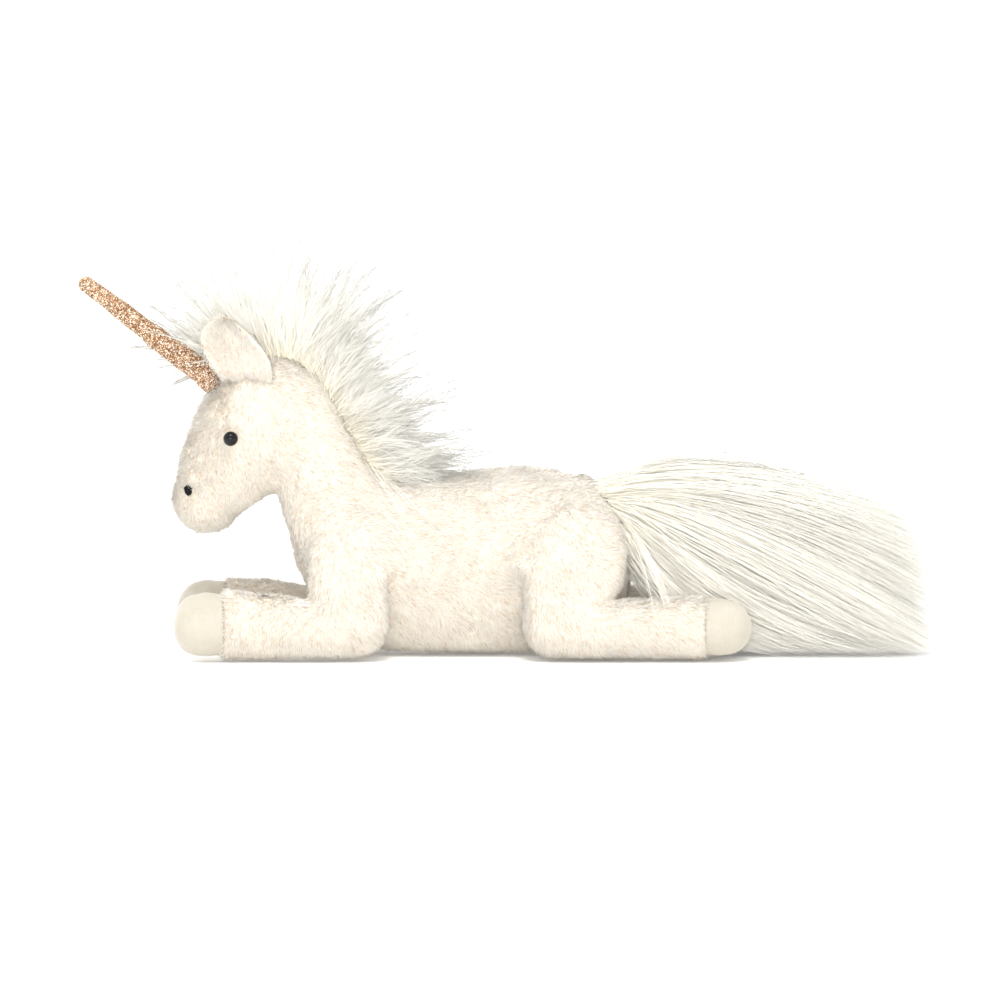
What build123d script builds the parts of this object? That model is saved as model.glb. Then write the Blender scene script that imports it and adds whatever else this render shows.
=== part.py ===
"""Lying plush unicorn: fur-fabric covers over fibre stuffing, with a pellet pouch in the belly.

Row frame, millimetres: X runs along the toy with the head at -X, Y across it (its left side is -Y), Z up.
The origin is on the ground under the middle of the toy's bounding box.
Every soft form is a loft through ellipses along a path. A cover is the outer form less a slightly smaller
one, and the stuffing fills that smaller one.
"""
from build123d import *
import itertools
import math
import os

# Fabrics and clearances
FUR_WALL = 3.0          # fur fabric with its pile
SUEDE_WALL = 1.2        # smooth hoof fabric
GLITTER_WALL = 0.8      # horn fabric
POUCH_WALL = 0.8        # woven pellet pouch
FIT = 0.15              # stuffing sits this far inside its cover
RUN_GAP = 0.6           # clearance between bodies that move on each other
BIG = 400.0             # larger than the toy, for half spaces

# Torso: upright sections, each x, height of the centre, half height, half width
TORSO = [
    (-101, 42, 5, 4), (-99, 42, 14, 9), (-95, 42, 22, 14), (-89, 43, 33, 19), (-80, 44, 41, 23),
    (-65, 45, 46, 26), (-45, 44.5, 46, 28), (-20, 45.5, 47, 29.5), (5, 47, 49, 30), (25, 48, 47, 29.5),
    (40, 50, 42, 27), (52, 52, 34, 22.5), (60, 54, 22, 15), (63.5, 55, 12, 9), (65, 55, 4, 4),
]
POUCH = [
    (-50, 14, 3, 4), (-46, 14, 7, 9), (-30, 14, 9, 11.5), (0, 14, 9.5, 11.5), (14, 14, 7, 9), (18, 14, 3, 4),
]
PELLET_R = 2.4
PELLET_PITCH = 5.6
PELLET_ROWS = (10, 3, 2)
PELLET_START = (-40.5, -PELLET_PITCH, 11.2)

# Neck: sections across its path, each x, z, half depth, half width
NECK = [
    (-68, 44, 30, 22), (-72, 50, 33, 25.5), (-80, 68, 28, 24), (-87, 85, 25.5, 22), (-92.5, 98, 24.5, 21),
    (-98.5, 110, 24, 21), (-105, 122, 23, 20), (-110, 130, 20, 17),
]
NECK_PIVOT = (-75.0, 62.0)
NECK_KNUCKLE_R = 29.0   # the neck's rounded lower end, in the shoulders
NECK_NOD_DEG = 8.0      # each way
WITHERS_DEG = 62.0      # the neck's sector beyond its knuckle, from the withers
CHEST_DEG = 184.0       # round to the chest

# Head: sections across the line from the muzzle to the crown, each distance along it, half depth, half width
MUZZLE = (-147.0, 78.0)
CROWN = (-116.0, 118.0)
HEAD = [
    (-17.5, 3, 3), (-15.5, 9.5, 8), (-7, 16.2, 12.5), (5, 20.8, 15.5), (16, 24.8, 18), (27, 28.6, 20.5),
    (38, 32.4, 23), (50, 33.9, 24.5), (62, 32, 24), (73, 26, 20), (81, 17, 14), (85.5, 8, 7), (86.5, 3, 3),
]
CROWN_R = 34.4          # the back of the head, round about the crown
JAW_DEG = -87.5         # behind this line from the crown there is no jaw
THROAT_DEG = -81.0      # and ahead of this one there is no neck
EYE_AT = (-134.0, -20.4, 110.3)
EYE_FACING = (-0.25, -1.0, 0.12)
EYE_R = 3.7
SHANK_R = 1.3
SHANK_GAP = 0.05
WASHER_R = 6.0
WASHER_THICK = 1.2
WASHER_DEPTH = 5.2
NOSTRIL_AT = (-155.7, -11.2, 83.3)
NOSTRIL_FACING = (-0.72, -0.66, 0.2)
NOSTRIL_R = 2.2
NOSTRIL_THICK = 2.4

# Horn
HORN_BASE = (-143.5, 134.0)
HORN_TIP = (-210.5, 185.0)
HORN_BASE_R = 6.2
HORN_TIP_R = 3.2

# Ears, in their own frame: width along x, height along z, hollow side towards -y
EAR_HEIGHT = 33.0
EAR_WIDTH = 26.0
EAR_CUP_R = 20.0
EAR_LAYER = 2.3
EAR_BASE = (-126.5, -18.8, 141.5)
EAR_UP = (-0.38, -0.22, 0.90)
EAR_ALONG = (0.92, 0.0, 0.39)
EAR_NARROW = 0.72       # of its half width, at the foot and again near the tip
EAR_WIDEST = 0.4        # of its height, where it is widest
EAR_SHOULDER = 0.82     # of its height, where it turns in to the tip

# Legs: each section x, y, z, half depth, half width
FRONT_UPPER = [
    (-76, -23, 63.2, 5, 4), (-76, -24, 60.5, 12, 8), (-76, -26, 54, 18, 12), (-76, -30, 42, 21.5, 14.5),
    (-75, -31, 20, 20, 14.5), (-74, -31, 6, 14, 11), (-74, -31, 1, 5, 4),
]
FRONT_LOWER = [
    (-54.5, -31, 20, 5, 4), (-57, -31, 20, 13, 10), (-67, -31, 19.5, 19, 14), (-85, -31, 18.5, 19.3, 14.5),
    (-100, -31, 18, 18.8, 14.5), (-115, -31, 18, 18.6, 14.3), (-130, -31, 18, 18.4, 14.1),
    (-146, -31, 18, 18.2, 14),
]
FRONT_CUFF_X = -140.0
FRONT_HOOF = [
    (-132, -31, 18, 15.5, 13), (-142, -31, 17.8, 16.4, 13.4), (-151, -31, 17.4, 16, 13),
    (-158.5, -31, 17.2, 11.5, 9.5), (-161.5, -31, 17.2, 4, 4),
]
SHOULDER = (-76.0, 42.0)
SHOULDER_R = 22.0
HIND_UPPER = [
    (36, -24, 71, 5, 4), (36, -24.5, 68, 14, 8), (36, -27, 60, 21.5, 12.5), (36, -30, 46, 27, 14.5),
    (34, -31, 28, 25, 14.5), (32, -31, 10, 16, 12), (32, -31, 2, 5, 5),
]
HIND_LOWER = [
    (10.5, -31, 20, 5, 4), (13, -31, 20, 13, 10), (24, -31, 19.5, 19.3, 14), (50, -31, 17.5, 17.6, 14.5),
    (65, -31, 17, 17.1, 14.4), (80, -31, 16.7, 16.8, 14.3), (95, -31, 16.4, 16.5, 14.2), (112, -31, 16, 16.1, 14),
]
HIND_CUFF_X = 106.0
HIND_HOOF = [
    (98, -31, 16.5, 13.6, 13), (108, -31, 16.6, 14.6, 13.3), (116, -31, 16.6, 14, 12.8),
    (121.5, -31, 16.6, 10, 9.5), (124, -31, 16.6, 4, 4),
]
HIP = (36.0, 44.0)
HIP_R = 28.2
LEG_INNER_Y = 16.5      # nothing of a leg lies nearer the middle than this
ELBOW_ROOM = (-81.5, 20, 69, 52)    # what a front leg sweeps: centre x and z, length, height
KNEE_ROOM = (66, 18, 131, 52)       # and a hind leg

# Mane: the row of root points and the row of tips in the XZ plane, both from the forelock backwards
MANE_ROOT = [
    (-136, 148.5), (-126, 153.5), (-116, 154.5), (-106, 152.5), (-97, 148), (-87, 138.5), (-79, 126.5),
    (-71.5, 113), (-65, 102), (-60, 97.5),
]
MANE_TIPS = [(-17, 105), (-22, 128), (-35, 152), (-54, 176), (-82, 198), (-112, 204), (-142, 196), (-166, 172)]
MANE_HALF = 8.0
MANE_DEPTH = 8.0                # the hair's foot is taken this far in, and trimmed to the fabric under it
BACKING = 1.2                   # thickness of the woven strip that the long pile grows from
MANE_PART_DEG = (32.0, 41.0)    # about the crown: the neck's mane ends at the first, the head's at the other
MANE_REACH_DEG = (-60.0, 200.0) # about the crown: from the withers round to the forelock

# Tail: upright sections, each x, height of the centre, half height, half width
TAIL_DOCK = (64.5, 80.0)
DOCK_R = 4.5
DOCK_STEM_R = 3.3
TAIL_SWING_AT = (58.0, 80.0)
TAIL = [
    (70, 80, 7, 5), (76, 79.5, 13, 8), (90, 76.5, 25, 12), (115, 72, 28.5, 15), (138, 66, 25.5, 17),
    (152, 51, 36, 18.5), (168, 43.5, 42, 19.5), (188, 40.5, 39, 18), (203, 35, 27, 13), (210, 33, 12, 7),
    (212, 33, 4, 3),
]


def soft_form(stations, wall=0.0, upright=False):
    """A closed soft form through ellipses (x, y, z, half depth, half width), shrunk by wall all round."""
    centres = [Vector(*s[:3]) for s in stations]
    last = len(centres) - 1
    middle = (centres[0] + centres[last]) / 2
    reach = (centres[last] - centres[0]).length / 2
    deepest = max(s[3] for s in stations)
    widest = max(s[4] for s in stations)
    faces = []
    for i, (_, _, _, deep, wide) in enumerate(stations):
        along = Vector(1, 0, 0) if upright else centres[min(i + 1, last)] - centres[max(i - 1, 0)]
        at = middle + (centres[i] - middle) * (1 - wall / reach)
        section = Plane(origin=at, x_dir=(0, 1, 0), z_dir=along)
        ellipse = Ellipse(wide * (1 - wall / widest), deep * (1 - wall / deepest))
        faces.append(section * ellipse)
    return loft(faces)


def central(stations):
    """Sections on the toy's middle plane, given without their y."""
    return [(x, 0, z, deep, wide) for x, z, deep, wide in stations]


def above(height):
    """Everything above a level."""
    return Pos(0, 0, height + BIG / 2) * Box(2 * BIG, 2 * BIG, BIG)


def heading(degrees):
    """A direction in the XZ plane, turned from +X towards +Z."""
    return Vector(math.cos(math.radians(degrees)), 0, math.sin(math.radians(degrees)))


def beyond(point, normal, offset=0.0):
    """The half space on the far side of the plane through a point of the XZ plane, moved along its normal."""
    start = Vector(point[0], 0, point[1]) + normal * offset
    return Plane(origin=start, z_dir=normal) * Pos(0, 0, BIG / 2) * Box(2 * BIG, 2 * BIG, BIG)


def sector(point, from_deg, to_deg, inset=0.0):
    """The wedge seen from a point between two headings less than half a turn apart."""
    return beyond(point, heading(from_deg + 90), inset) & beyond(point, heading(to_deg - 90), inset)


def cross_rod(point, radius, low=-BIG / 4, high=BIG / 4):
    """A rod along Y through a point of the XZ plane."""
    return Pos(point[0], (low + high) / 2, point[1]) * Rot(90, 0, 0) * Cylinder(radius, high - low)


def ball(point, radius):
    """A ball on the toy's middle plane."""
    return Pos(point[0], 0, point[1]) * Sphere(radius)


def mirrored(shape):
    return mirror(shape, about=Plane.XZ)


def both_sides(name, left):
    """The left part and its mirror image, under their two names."""
    return {f"left_{name}": left, f"right_{name}": mirrored(left)}


# ---------------------------------------------------------------- torso

def leg_room(grow=0.0, inset=0.0):
    """The pockets that the four legs swing in, outside the torso's narrow waist."""
    inner = LEG_INNER_Y - RUN_GAP - inset
    reach = BIG / 4
    one_side = cross_rod(SHOULDER, SHOULDER_R + RUN_GAP + grow, inner, reach)
    one_side = one_side + cross_rod(HIP, HIP_R + RUN_GAP + grow, inner, reach)
    for x, z, length, height in (ELBOW_ROOM, KNEE_ROOM):
        one_side = one_side + Pos(x, inner + reach / 2, z) * Box(length + 2 * grow, reach, height + 2 * grow)
    return one_side + mirrored(one_side)


def neck_room(grow=0.0):
    """The space that the neck nods in."""
    wedge = sector(NECK_PIVOT, WITHERS_DEG - NECK_NOD_DEG - 1, CHEST_DEG + NECK_NOD_DEG + 1, -grow)
    return cross_rod(NECK_PIVOT, NECK_KNUCKLE_R + RUN_GAP + grow) + wedge


def torso_form(wall=0.0):
    return soft_form(central(TORSO), wall, upright=True) & above(wall)


def pellets():
    """Round pellets lying in rows inside the pouch."""
    made = []
    for steps in itertools.product(*(range(count) for count in PELLET_ROWS)):
        place = [start + step * PELLET_PITCH for start, step in zip(PELLET_START, steps)]
        made.append(Pos(*place) * Sphere(PELLET_R))
    return Compound(made)


def torso():
    socket = ball(TAIL_SWING_AT, DOCK_STEM_R + RUN_GAP)
    outer = torso_form() - leg_room() - neck_room() - socket
    hollow = torso_form(FUR_WALL) - leg_room(FUR_WALL, FUR_WALL) - neck_room(FUR_WALL)
    inside = FUR_WALL + FIT
    filling = torso_form(inside) - leg_room(inside, inside) - neck_room(inside) - socket
    pouch = central(POUCH)
    return {
        "torso_cover": outer - hollow,
        "torso_stuffing": filling - soft_form(pouch, -FIT),
        "pellet_pouch": soft_form(pouch) - soft_form(pouch, POUCH_WALL),
        "pouch_pellets": pellets(),
    }


# ---------------------------------------------------------------- neck and head

def neck_form(wall=0.0):
    """The neck from its knuckle in the shoulders to the round back of the head, shrunk by wall."""
    tube = soft_form(central(NECK), wall)
    knuckle = (tube + torso_form(wall)) & cross_rod(NECK_PIVOT, NECK_KNUCKLE_R - wall)
    column = tube & sector(NECK_PIVOT, WITHERS_DEG, CHEST_DEG, wall)
    swing = math.radians(NECK_NOD_DEG) * NECK_KNUCKLE_R
    kept = knuckle + column - leg_room(swing + wall, wall) - cross_rod(CROWN, CROWN_R + RUN_GAP + wall)
    return kept - beyond(CROWN, heading(THROAT_DEG - 90), -wall)


def neck():
    return {"neck_cover": neck_form() - neck_form(FUR_WALL), "neck_stuffing": neck_form(FUR_WALL + FIT)}


def head_form(wall=0.0):
    """The head, round about the crown at its back."""
    dx, dz = CROWN[0] - MUZZLE[0], CROWN[1] - MUZZLE[1]
    length = math.hypot(dx, dz)
    stations = []
    for s, deep, wide in HEAD:
        share = s / length
        stations.append((MUZZLE[0] + share * dx, 0, MUZZLE[1] + share * dz, deep, wide))
    nape = beyond(CROWN, heading(JAW_DEG + 90), -wall) - cross_rod(CROWN, CROWN_R - wall)
    return soft_form(stations, wall) - nape


def eye_place():
    """The left eye's seat on the head's flank, looking out."""
    return Plane(origin=EYE_AT, z_dir=Vector(*EYE_FACING).normalized())


def eye_parts():
    """A half-round bead with its shank, and the washer that locks it behind the fabric."""
    place = eye_place()
    outside = Pos(0, 0, BIG / 2) * Box(BIG, BIG, BIG)
    bead = (Pos(0, 0, RUN_GAP) * Sphere(EYE_R)) & outside
    shank_length = WASHER_DEPTH + 2 * WASHER_THICK
    shank = Pos(0, 0, -shank_length / 2 + FIT) * Cylinder(SHANK_R, shank_length)
    ring = Cylinder(WASHER_R, WASHER_THICK) - Cylinder(SHANK_R + SHANK_GAP, 2 * WASHER_THICK)
    washer = Pos(0, 0, -WASHER_DEPTH) * ring
    return place * (bead + shank), place * washer


def eye_room():
    """The room that an eye takes out of the head's cover, and out of its stuffing."""
    deep = 4 * WASHER_DEPTH
    hole = Pos(0, 0, -WASHER_DEPTH) * Cylinder(SHANK_R + SHANK_GAP, deep)
    seat = Pos(0, 0, deep / 2) * Cylinder(EYE_R + FIT, deep)
    pocket = Pos(0, 0, -WASHER_DEPTH) * Cylinder(WASHER_R + FIT, WASHER_THICK + 2 * FIT)
    return eye_place() * (hole + seat), eye_place() * (hole + pocket)


def head():
    socket = ball(HORN_BASE, HORN_BASE_R + RUN_GAP)
    eye, washer = eye_parts()
    in_cover, in_filling = eye_room()
    nostril = Plane(origin=NOSTRIL_AT, z_dir=Vector(*NOSTRIL_FACING).normalized())
    pad = nostril * Cylinder(NOSTRIL_R, NOSTRIL_THICK)
    cover = head_form() - head_form(FUR_WALL) - socket
    filling = head_form(FUR_WALL + FIT) - socket
    for tool in (in_cover, pad):
        cover = cover - tool - mirrored(tool)
    for tool in (in_filling, pad):
        filling = filling - tool - mirrored(tool)
    made = {"head_cover": cover, "head_stuffing": filling}
    made.update(both_sides("eye", eye))
    made.update(both_sides("eye_washer", washer))
    made.update(both_sides("nostril", pad))
    return made


# ---------------------------------------------------------------- horn and ears

def horn():
    """A tapering fabric tube over firm filling, with a round foot in the forehead's socket."""
    base = Vector(HORN_BASE[0], 0, HORN_BASE[1])
    tip = Vector(HORN_TIP[0], 0, HORN_TIP[1])
    length = (tip - base).length - HORN_TIP_R
    place = Plane(origin=base, z_dir=(tip - base).normalized())

    def spike(less):
        cone = Pos(0, 0, length / 2) * Cone(HORN_BASE_R - less, HORN_TIP_R - less, length)
        return place * (cone + Sphere(HORN_BASE_R - less) + Pos(0, 0, length) * Sphere(HORN_TIP_R - less))

    return {"horn_cover": spike(0) - spike(GLITTER_WALL), "horn_stuffing": spike(GLITTER_WALL + FIT)}


def ear_layer(inner_r, outer_r):
    """One cupped, leaf-shaped layer of an ear, in the ear's own frame."""
    half = EAR_WIDTH / 2
    narrow = half * EAR_NARROW
    widest, shoulder = EAR_HEIGHT * EAR_WIDEST, EAR_HEIGHT * EAR_SHOULDER
    with BuildSketch(Plane.XZ) as leaf:
        with BuildLine():
            Spline(
                (-narrow, 0), (-half, widest), (-narrow, shoulder), (0, EAR_HEIGHT),
                (narrow, shoulder), (half, widest), (narrow, 0),
            )
            Line((narrow, 0), (-narrow, 0))
        make_face()
    prism = extrude(leaf.sketch, amount=EAR_WIDTH, both=True)
    tall = 2 * EAR_HEIGHT
    ring = Pos(0, -EAR_CUP_R, EAR_HEIGHT / 2) * (Cylinder(outer_r, tall) - Cylinder(inner_r, tall))
    rear_half = Pos(0, BIG / 2 - EAR_CUP_R, 0) * Box(BIG, BIG, BIG)
    return prism & ring & rear_half


def ears():
    place = Plane(origin=EAR_BASE, x_dir=EAR_ALONG, z_dir=Vector(*EAR_UP).normalized())
    made = both_sides("ear_back", place * ear_layer(EAR_CUP_R + FIT, EAR_CUP_R + EAR_LAYER))
    made.update(both_sides("ear_lining", place * ear_layer(EAR_CUP_R - EAR_LAYER, EAR_CUP_R)))
    return made


# ---------------------------------------------------------------- legs

def leg(upper, lower, hoof, cuff_x, towards):
    """One left leg: the fur cover, the smooth hoof cover and the stuffing that runs through both."""
    cuff = beyond((cuff_x, 0), Vector(towards, 0, 0))

    def kept(shape, wall):
        outside = Pos(0, -LEG_INNER_Y - wall - BIG / 2, 0) * Box(BIG, BIG, BIG)
        return shape & above(wall) & outside

    def limb(wall):
        return kept(soft_form(upper, wall) + soft_form(lower, wall), wall)

    def toe(wall):
        return kept(soft_form(hoof, wall), wall)

    cover = (limb(0) - cuff) - limb(FUR_WALL)
    hoof_cover = (toe(0) & cuff) - toe(SUEDE_WALL)
    filling = (limb(FUR_WALL + FIT) - cuff) + (toe(SUEDE_WALL + FIT) & cuff)
    return cover, hoof_cover, filling


def legs():
    made = {}
    for name, parts in (
        ("front", leg(FRONT_UPPER, FRONT_LOWER, FRONT_HOOF, FRONT_CUFF_X, -1)),
        ("hind", leg(HIND_UPPER, HIND_LOWER, HIND_HOOF, HIND_CUFF_X, 1)),
    ):
        for piece, shape in zip(("leg_cover", "hoof_cover", "leg_stuffing"), parts):
            made.update(both_sides(f"{name}_{piece}", shape))
    return made


# ---------------------------------------------------------------- mane and tail

def flat_body(outline, half):
    """A flat body across the toy's middle, from its outline in the XZ plane."""
    with BuildSketch(Plane.XZ) as sketch:
        with BuildLine():
            Polyline(*outline, close=True)
        make_face()
    return extrude(sketch.sketch, amount=half, both=True)


def raised(points, by):
    """A row of points in the XZ plane moved outwards from the crown."""
    made = []
    for x, z in points:
        away = math.hypot(x - CROWN[0], z - CROWN[1])
        made.append((x + by * (x - CROWN[0]) / away, z + by * (z - CROWN[1]) / away))
    return made


def mane():
    """The long pile and its woven strip, each parted where the head turns on the neck."""
    whole = flat_body([*raised(MANE_ROOT, -MANE_DEPTH), *MANE_TIPS], MANE_HALF)
    neck_end, head_end = MANE_PART_DEG
    withers, forelock = MANE_REACH_DEG
    on_head = whole & sector(CROWN, head_end, forelock)
    on_neck = (whole & sector(CROWN, withers, neck_end)) - cross_rod(CROWN, CROWN_R + RUN_GAP)
    made = {}
    for name, form, piece in (("head_mane", head_form, on_head), ("neck_mane", neck_form, on_neck)):
        made[name] = piece - form(-BACKING - 2 * FIT)
        made[f"{name}_backing"] = (piece & form(-BACKING - FIT)) - form(-FIT)
    return made


def tail():
    """The stitched dock, which swings in the rump, and the fan of long pile that lifts on it."""
    stem_length = TAIL_DOCK[0] - TAIL_SWING_AT[0]
    middle = Pos(TAIL_SWING_AT[0] + stem_length / 2, 0, TAIL_DOCK[1])
    stem = middle * Rot(0, 90, 0) * Cylinder(DOCK_STEM_R, stem_length)
    dock = stem + ball(TAIL_SWING_AT, DOCK_STEM_R) + ball(TAIL_DOCK, DOCK_R)
    return {"tail_dock": dock, "tail_hair": soft_form(central(TAIL), upright=True)}


def main():
    os.makedirs("parts", exist_ok=True)
    for group in (torso, neck, head, horn, ears, legs, mane, tail):
        for name, shape in group().items():
            export_step(shape, f"parts/{name}.step")


main()
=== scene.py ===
"""Lying plush unicorn: skins from smooth forms, a coat of short pile, and long hair in locks.

Sizes in the tables and in the forms are millimetres in the row frame; meshes are made in metres.
"""
import bpy
import math
import numpy as np
import openvdb
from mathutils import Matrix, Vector


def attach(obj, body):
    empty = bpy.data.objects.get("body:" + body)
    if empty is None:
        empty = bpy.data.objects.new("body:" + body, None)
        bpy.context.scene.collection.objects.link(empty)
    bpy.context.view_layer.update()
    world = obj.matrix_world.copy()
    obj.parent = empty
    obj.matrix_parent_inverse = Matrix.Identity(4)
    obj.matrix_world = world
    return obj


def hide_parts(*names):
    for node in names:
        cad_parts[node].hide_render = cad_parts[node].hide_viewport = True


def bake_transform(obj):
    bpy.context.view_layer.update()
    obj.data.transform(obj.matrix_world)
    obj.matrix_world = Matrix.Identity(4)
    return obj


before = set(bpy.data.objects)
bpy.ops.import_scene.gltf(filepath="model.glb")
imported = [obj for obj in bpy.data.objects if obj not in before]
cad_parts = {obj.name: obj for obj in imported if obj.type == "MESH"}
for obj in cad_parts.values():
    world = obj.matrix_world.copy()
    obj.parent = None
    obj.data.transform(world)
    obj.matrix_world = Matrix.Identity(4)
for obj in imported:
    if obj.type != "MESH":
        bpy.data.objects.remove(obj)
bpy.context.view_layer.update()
MM = 0.001
UP, SIDEWAYS = np.array([0.0, 0.0, 1.0]), np.array([0.0, 1.0, 0.0])


# -------- camera

CAMERA_AWAY, CAMERA_UP = 6.0, 6.0       # metres and degrees
VIEW_WIDTH, AIM_HEIGHT = 0.5, 0.0775    # metres across the picture at the toy, and the height it is aimed at
SENSOR = 36.0


def aimed(data, way):
    """A camera or lamp in the scene that looks along a direction."""
    obj = bpy.data.objects.new(data.name, data)
    obj.rotation_mode = "QUATERNION"
    obj.rotation_quaternion = Vector(way).to_track_quat("-Z", "Y")
    bpy.context.scene.collection.objects.link(obj)
    return obj


def make_camera():
    data = bpy.data.cameras.new("camera")
    elevation = math.radians(CAMERA_UP)
    data.sensor_width = SENSOR
    data.lens = SENSOR * CAMERA_AWAY / VIEW_WIDTH
    back = Vector((0.0, -math.cos(elevation), math.sin(elevation)))
    camera = aimed(data, -back)
    camera.location = Vector((0.0, 0.0, AIM_HEIGHT)) + back * CAMERA_AWAY
    data.clip_start, data.clip_end = 0.1, 100.0
    bpy.context.scene.camera = camera


# -------- noise and small helpers

def unit(v):
    return v / np.maximum(np.linalg.norm(v, axis=-1, keepdims=True), 1e-9)


def held(x):
    """Kept between 0 and 1."""
    return np.clip(x, 0, 1)


def between(values, base, share):
    """Values between lattice points, from the eight round each place. base: the lowest of the eight."""
    total = 0.0
    for corner in range(8):
        step = np.array([corner & 1, corner >> 1 & 1, corner >> 2 & 1])
        i = (base + step) % values.shape
        weight = np.prod(np.where(step, share, 1 - share), axis=-1)
        total = total + weight * values[i[..., 0], i[..., 1], i[..., 2]]
    return total


class Noise:
    """Smooth value noise on a repeating lattice, from -1 to 1."""

    def __init__(self, seed, scale):
        self.lattice = np.random.default_rng(seed).uniform(-1, 1, (32, 32, 32)).astype(np.float32)
        self.scale = scale

    def __call__(self, p):
        q = p / self.scale + 100.0
        base = np.floor(q).astype(int)
        f = q - base
        return between(self.lattice, base, f * f * (3 - 2 * f))


def smooth_min(a, b, k):
    h = np.maximum(k - np.abs(a - b), 0.0) / k
    return np.minimum(a, b) - h * h * k * 0.25


def smooth_max(a, b, k):
    return -smooth_min(-a, -b, k)


def through(rows, per_span=10):
    """A smooth curve through rows of numbers whose first three are a point."""
    rows = np.array(rows, float)
    ends = np.vstack([2 * rows[0] - rows[1], rows, 2 * rows[-1] - rows[-2]])
    out = []
    t = np.linspace(0, 1, per_span, endpoint=False)[:, None]
    for i in range(1, len(ends) - 2):
        a, b, c, d = ends[i - 1:i + 3]
        square, cube = 2 * a - 5 * b + 4 * c - d, 3 * b - a - 3 * c + d
        out.append(0.5 * (2 * b + (c - a) * t + square * t**2 + cube * t**3))
    out.append(rows[-1:])
    return np.vstack(out)


# -------- forms on a grid

class Grid:
    """A box of points that forms are measured on."""

    def __init__(self, low, high, step):
        self.low, self.step = np.array(low, float), step
        x, y, z = (np.arange(a, b + step, step) for a, b in zip(low, high))
        self.x, self.z = x[:, None], z[None, :]
        self.y = y[None, :, None]
        self.shape = (len(x), len(y), len(z))

    def tube(self, rows, caps):
        """Distance to a form through ellipses (x, y, z, half depth, half width) along a path near the XZ
        plane, with round caps of two lengths beyond its ends."""
        path = through(rows)
        near = np.full((self.shape[0], self.shape[2]), 1e9)
        across, over, y0, a, b = (np.zeros_like(near) for _ in range(5))
        last = len(path) - 2
        for i, (p, q) in enumerate(zip(path[:-1], path[1:])):
            dx, dz = q[0] - p[0], q[2] - p[2]
            length = math.hypot(dx, dz) + 1e-9
            s = ((self.x - p[0]) * dx + (self.z - p[2]) * dz) / length
            t = held(s / length)
            away = (self.x - p[0] - t * dx) ** 2 + (self.z - p[2] - t * dz) ** 2
            before = np.maximum(-s, 0) * (i == 0)
            after = np.maximum(s - length, 0) * (i == last)
            closer = away < near
            here = [away, np.maximum(away - (before + after) ** 2, 0), before / caps[0] + after / caps[1]]
            here += [p[k] + t * (q[k] - p[k]) for k in (1, 3, 4)]
            kept = near, across, over, y0, a, b
            near, across, over, y0, a, b = (np.where(closer, new, old) for new, old in zip(here, kept))
        side = self.y - y0[:, None, :]
        r = np.sqrt((across / a**2 + over**2)[:, None, :] + (side / b[:, None, :]) ** 2)
        q = np.sqrt(near[:, None, :] + side**2)
        return (q * (r - 1) / np.maximum(r, 1e-3)).astype(np.float32)

    def floor(self, level):
        return (level - self.z[:, None, :]).astype(np.float32)

    def at(self, field, p):
        """The field at points, by straight-line interpolation."""
        q = (p - self.low) / self.step
        q = np.clip(q, 0, np.array(self.shape) - 1.001)
        base = q.astype(int)
        return between(field, base, q - base)

    def gradient(self, field, p):
        steps = np.eye(3) * self.step
        return unit(np.stack([self.at(field, p + s) - self.at(field, p - s) for s in steps], -1))

    def surface(self, field):
        """The zero surface of a field as points and quads."""
        band = 3 * self.step
        volume = openvdb.FloatGrid(band)
        volume.copyFromArray(np.clip(field, -band, band).astype(np.float32))
        points, quads = volume.convertToQuads(0.0)
        return self.low + np.array(points) * self.step, np.array(quads)


# -------- meshes

def new_mesh(name, points, faces, material, smooth=True):
    """A mesh object from points in millimetres and faces all of one size."""
    faces = np.asarray(faces)
    count, corners = faces.shape
    mesh = bpy.data.meshes.new(name)
    mesh.vertices.add(len(points))
    mesh.vertices.foreach_set("co", (np.asarray(points) * MM).astype(np.float32).ravel())
    mesh.loops.add(count * corners)
    mesh.loops.foreach_set("vertex_index", faces.astype(np.int32).ravel())
    mesh.polygons.add(count)
    mesh.polygons.foreach_set("loop_start", np.arange(0, count * corners, corners, dtype=np.int32))
    mesh.polygons.foreach_set("use_smooth", np.full(count, smooth))
    mesh.update(calc_edges=True)
    mesh.validate()
    mesh.materials.append(material)
    obj = bpy.data.objects.new(name, mesh)
    bpy.context.scene.collection.objects.link(obj)
    return obj


def outward(points, faces):
    """The faces, turned over if the closed surface is inside out."""
    a, b, c = (points[faces[:, i]] for i in range(3))
    last = points[faces[:, -1]]      # of three corners it is the third, and then adds nothing
    volume = np.sum(a * (np.cross(b, c) + np.cross(c, last)))
    return faces if volume > 0 else faces[:, ::-1]


def tube_faces(rings, around):
    """Triangles between rings of points, each of so many points around."""
    tris = []
    for i in range(rings - 1):
        for s in range(around):
            a, b = i * around + s, i * around + (s + 1) % around
            tris += [(a, b, b + around), (a, b + around, a + around)]
    return tris


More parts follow.
